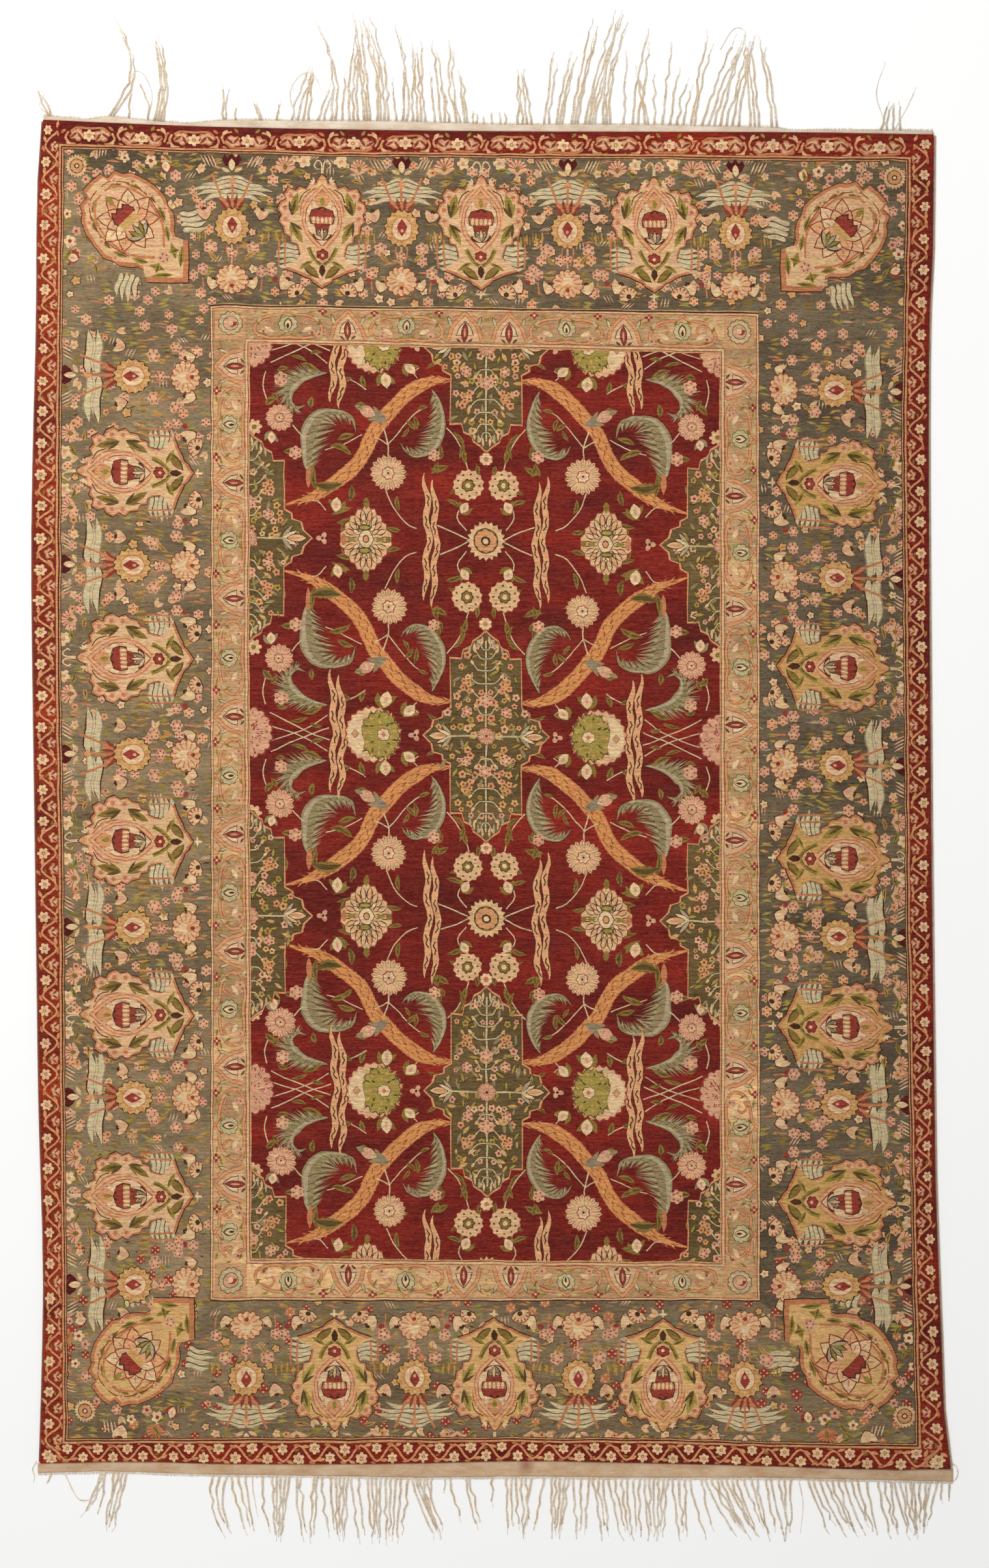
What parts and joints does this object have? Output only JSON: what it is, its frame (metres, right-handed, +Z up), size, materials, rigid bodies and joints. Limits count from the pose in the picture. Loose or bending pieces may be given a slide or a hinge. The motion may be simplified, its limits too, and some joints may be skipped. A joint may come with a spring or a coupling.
{
  "type": "fringed silk pile rug",
  "caption": "Flat rectangular silk pile rug with overcast sides, a woven band and a sewn tape at its ends, and worn warp fringe.",
  "frame": {"origin": "on the underside of the pile cloth, at the middle of the rug, on the surface it lies on", "axes": "+X across the rug, +Y along it towards the end with the woven band, +Z up out of the pile"},
  "size_m": [1.258, 2.0959, 0.0045],
  "materials": {
    "silk_pile": "short silk pile, worn, crimson field with grey green and gold borders",
    "side_cord": "overcast silk yarn, faded pink and beige",
    "end_band": "plain weave in undyed cotton, cream",
    "end_tape": "cotton tape, pale peach beige",
    "warp_fringe": "undyed cotton warps, frayed"
  },
  "bodies": {
    "root": {"rug_pile": "silk_pile", "left_side_cord": "side_cord", "right_side_cord": "side_cord", "upper_end_band": "end_band", "lower_end_tape": "end_tape", "upper_fringe": "warp_fringe", "lower_fringe": "warp_fringe"}
  },
  "joints": []
}
